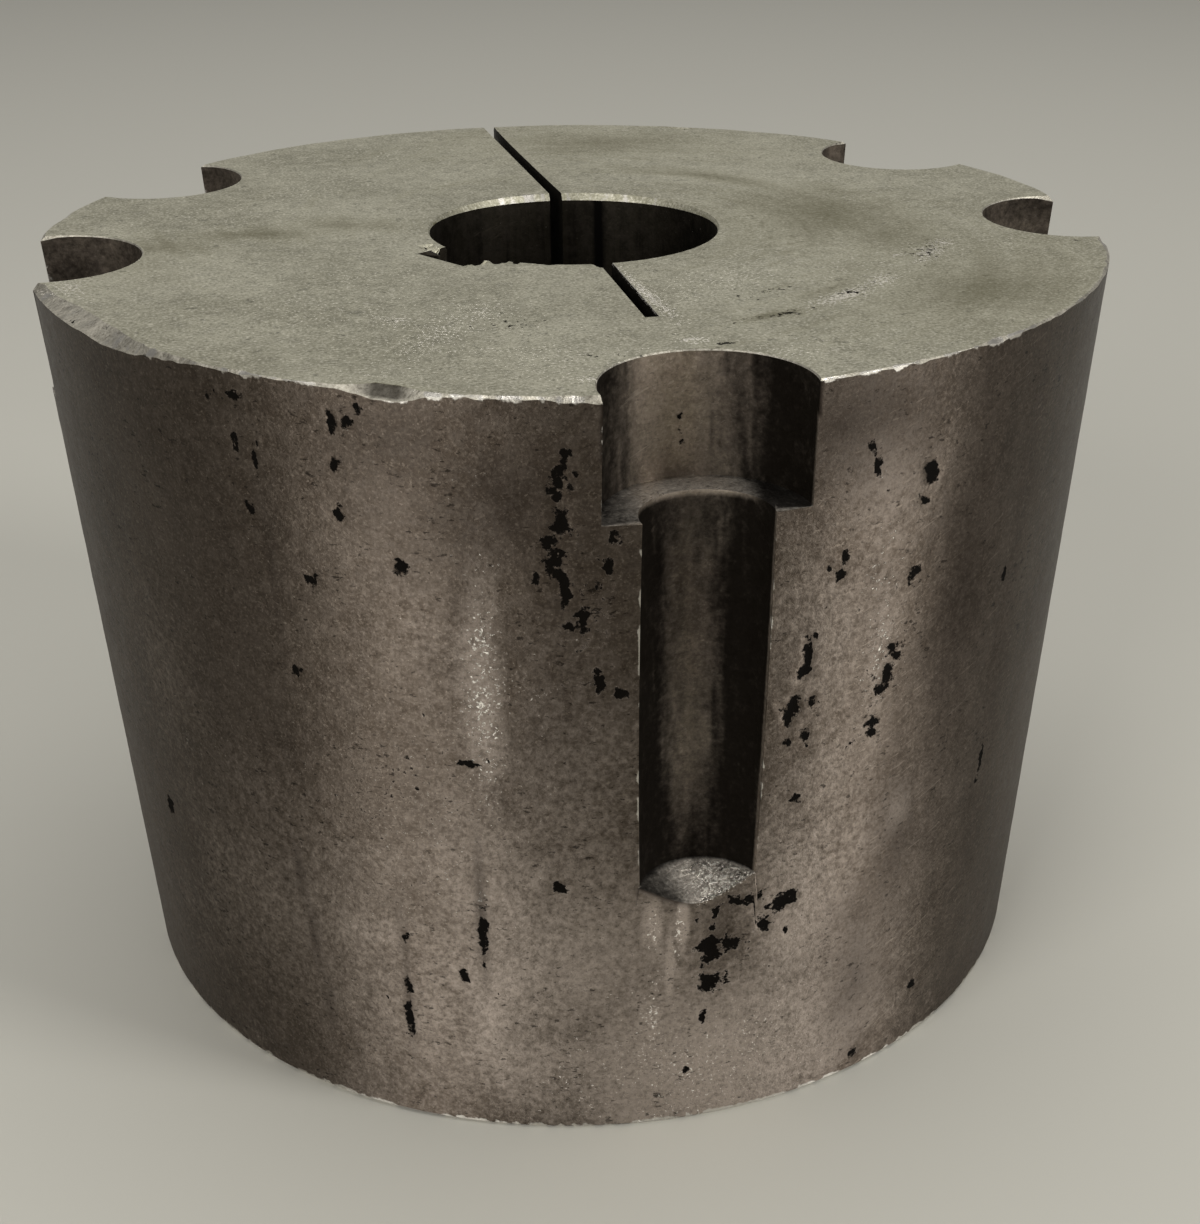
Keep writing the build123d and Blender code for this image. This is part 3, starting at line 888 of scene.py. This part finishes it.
    # Dirt, oil and painted shade are rougher than the iron, and burnished edges and painted
    # highlights smoother.
    smooth, coarse = rough
    inputs = {"Value": fields["mottle"], "From Min": 0.3, "From Max": 0.7}
    inputs |= {"To Min": smooth, "To Max": coarse}
    roughness = add(tree, "ShaderNodeMapRange", inputs).outputs["Result"]
    for label, change in (("pitted", 0.35), ("stains_and_painted_shade", 0.3), ("burnish_and_painted_highlight", -0.12)):
        inputs = {0: laid[label], 1: change, 2: roughness}
        roughness = add(tree, "ShaderNodeMath", inputs, operation="MULTIPLY_ADD").outputs[0]
    tree.links.new(roughness, shader.inputs["Roughness"])

    # Relief in millimetres: pits sink, scuffs stand up, and three noises roughen the rest.
    relief = add(tree, "ShaderNodeMath", {0: laid["pitted"], 1: -0.14}, operation="MULTIPLY").outputs[0]
    mottle_depth, grain_depth, fleck_depth = relief_depths
    for bump, depth_mm in (
        (laid["scuffs_and_painted_glints"], 0.08), (fields["mottle"], mottle_depth), (fields["grain"], grain_depth),
        (fields["fleck"], fleck_depth),
    ):
        inputs = {0: bump, 1: depth_mm, 2: relief}
        relief = add(tree, "ShaderNodeMath", inputs, operation="MULTIPLY_ADD").outputs[0]
    bumps = add(tree, "ShaderNodeBump", {"Strength": 1, "Distance": MM, "Height": relief})
    tree.links.new(bumps.outputs[0], shader.inputs["Normal"])
    if anisotropy:
        upright = add(tree, "ShaderNodeCombineXYZ", {"Z": 1}).outputs[0]
        tree.links.new(upright, shader.inputs["Tangent"])
    return material


def palette(base, clouded, dark, light, pale, rubbed_and_painted_light, stains_and_painted_shade):
    """Colours of one finish, with the bright scratches and painted glints, the burnished edges
    and painted highlights, and the black dirt that all share.
    """
    own = dict(
        base=base, clouded=clouded, dark=dark, light=light, pale=pale, rubbed_and_painted_light=rubbed_and_painted_light, stains_and_painted_shade=stains_and_painted_shade
    )
    return own | {"bright": "#ddd7cb", "burnish_and_painted_highlight": "#bab5ab", "dirt": "#080604"}


# Each finish has its colours, the shares of its patches, mottle, grain, flecks and specks,
# its least and greatest roughness, its stretch, anisotropy and relief.
finishes = [
    # The taper, turned grey cast iron: warm dark grey, darker than the large end partly as
    # painted shade, its sheen drawn into upright streaks by the tool's rings, clouded by
    # handling and spotted with black pits.
    iron_finish("turned_cast_iron",
                palette("#4a4138", "#574e45", "#2f2822", "#6b6157", "#857a6e", "#a2968a", "#211b16"),
                (0.45, 0.5, 0.35, 0.4, 0.7), (0.44, 0.58), (1, 0.45, 1), 0.9, (0.05, 0.03, 0.05)),
    # The large end, faced grey cast iron: a paler, greener grey, partly painted light and its
    # green partly a painted reflection of a pale green wall, even and sandy.
    iron_finish("faced_cast_iron",
                palette("#9b9783", "#b3af9b", "#7d7968", "#b5b19f", "#d2cdbc", "#aaa595", "#56523f"),
                (0.4, 0.4, 0.8, 0.5, 0.35), (0.5, 0.62), (1, 1, 1), 0, (0.02, 0.03, 0.02)),
    # The holes' walls, drilled grey cast iron: brown-grey, painted black as shade in the holes.
    iron_finish("drilled_cast_iron",
                palette("#75695d", "#817668", "#4f473d", "#908376", "#a19586", "#8a8074", "#050301"),
                (0.6, 0.5, 0.4, 0.5, 0.3), (0.4, 0.55), (1, 3, 1), 0, (0.03, 0.02, 0.02)),
    # The bore, keyway and saw cuts, bored and sawn grey cast iron: nearly black, in streaks.
    iron_finish("bored_cast_iron",
                palette("#24211b", "#2e2a22", "#151310", "#35302a", "#39342c", "#3d3831", "#060504"),
                (0.8, 0.5, 0.2, 0.0, 0.3), (0.5, 0.6), (1, 0.1, 1), 0, (0.02, 0.02, 0.01)),
    # The drill's points and the counterbores' floors, drilled grey cast iron that nothing
    # has rubbed since: bright and shiny, with coarse glints, which on the points are partly painted.
    iron_finish("bright_drilled_cast_iron",
                palette("#9a9287", "#aaa195", "#4a443d", "#c2b9ab", "#e0d8ca", "#b5aca0", "#0c0a08"),
                (0.8, 0.8, 0.5, 0.9, 0.6), (0.22, 0.42), (1, 1, 1), 0, (0.25, 0.03, 0.05)),
    # The large rim, turned grey cast iron that knocks have bared: pale and uneven, with
    # dirt in its hollows and its chip painted dark as shadow.
    iron_finish("knocked_cast_iron",
                palette("#a49e90", "#b2ac9d", "#656054", "#beb8a9", "#cdc7b8", "#aaa595", "#2a251f"),
                (0.5, 0.6, 0.6, 0.6, 0.6), (0.4, 0.55), (1, 1, 1), 0, (0.06, 0.05, 0.05)),
]
for material in finishes:
    bush_mesh.materials.append(material)

# The floor is stage, and not part of the bush: a plain pale sheet of painted board, matt
# enough to show no reflection, that reaches well past the view.
floor_half_width = 3
signs = ((-1, -1), (1, -1), (1, 1), (-1, 1))
floor_corners = [(u * floor_half_width, v * floor_half_width, 0) for u, v in signs]
floor_mesh = bpy.data.meshes.new("floor")
floor_mesh.from_pydata(floor_corners, [], [(0, 1, 2, 3)])
floor = bpy.data.objects.new("floor", floor_mesh)
bpy.context.scene.collection.objects.link(floor)
pale_paint = bpy.data.materials.new("pale_floor")
pale_paint.use_nodes = True
paint_shader = pale_paint.node_tree.nodes["Principled BSDF"]
paint_shader.inputs["Base Color"].default_value = linear("#b0ada2")
paint_shader.inputs["Roughness"].default_value = 0.6
floor_mesh.materials.append(pale_paint)

# The camera looks down on the front screw hole from its left. Its place is a bearing in
# degrees, and a reach from the axis and a rise above the large end in large radii.
sensor_width = 36
camera_data = bpy.data.cameras.new("camera")
camera_data.sensor_width = sensor_width
camera_data.lens = 1.5571895 * sensor_width
camera_data.shift_x = -0.0424837
camera_data.shift_y = -0.0433007
camera = bpy.data.objects.new("camera", camera_data)
bpy.context.scene.collection.objects.link(camera)
camera_bearing = math.radians(-101.6)
camera_reach, camera_rise = 3.5899 * large_radius, 0.8879 * large_radius
camera_spot = Vector((
    camera_reach * math.cos(camera_bearing),
    camera_reach * math.sin(camera_bearing),
    bush_length + camera_rise,
))
yaw, pitch, roll = np.radians([-13.985, -23.796, -0.034])
turn = Matrix.Rotation(yaw, 4, "Z") @ Matrix.Rotation(pitch, 4, "X") @ Matrix.Rotation(roll, 4, "Y")
level_view = Matrix.Rotation(math.pi / 2, 4, "X")
camera.matrix_world = Matrix.Translation(camera_spot * MM) @ turn @ level_view
bpy.context.scene.camera = camera

# The light is soft: a dim grey sky, a large softbox overhead and a narrow one on each side,
# whose upright sheens the taper shows. Each is named, then its azimuth and elevation in
# degrees, its distance, width and height in metres, and its radiance.
world = bpy.data.worlds.new("world")
world.use_nodes = True
world.node_tree.nodes["Background"].inputs["Color"].default_value = (1, 1, 1, 1)
world.node_tree.nodes["Background"].inputs["Strength"].default_value = 0.25
bpy.context.scene.world = world
bush_middle = Vector((0, 0, 0.05))
for name, azimuth, elevation, distance, width, height, radiance in (
    ("overhead_softbox", 78, 80, 1.3, 1.6, 1.2, 1.8),
    ("left_softbox", -136.5, 20, 1.0, 0.5, 0.7, 7.0),
    ("right_softbox", -38, 20, 1.0, 0.26, 0.7, 13.0),
):
    light = bpy.data.lights.new(name, "AREA")
    light.shape = "RECTANGLE"
    light.size, light.size_y = width, height
    light.energy = radiance * math.pi * width * height
    lamp = bpy.data.objects.new(name, light)
    lamp.visible_camera = False
    bpy.context.scene.collection.objects.link(lamp)
    across, rise = math.radians(azimuth), math.radians(elevation)
    aim = Vector((math.cos(rise) * math.cos(across), math.cos(rise) * math.sin(across), math.sin(rise)))
    facing = aim.to_track_quat("Z", "Y").to_matrix().to_4x4()
    lamp.matrix_world = Matrix.Translation(bush_middle + aim * distance) @ facing
bpy.context.scene.view_settings.view_transform = "Standard"
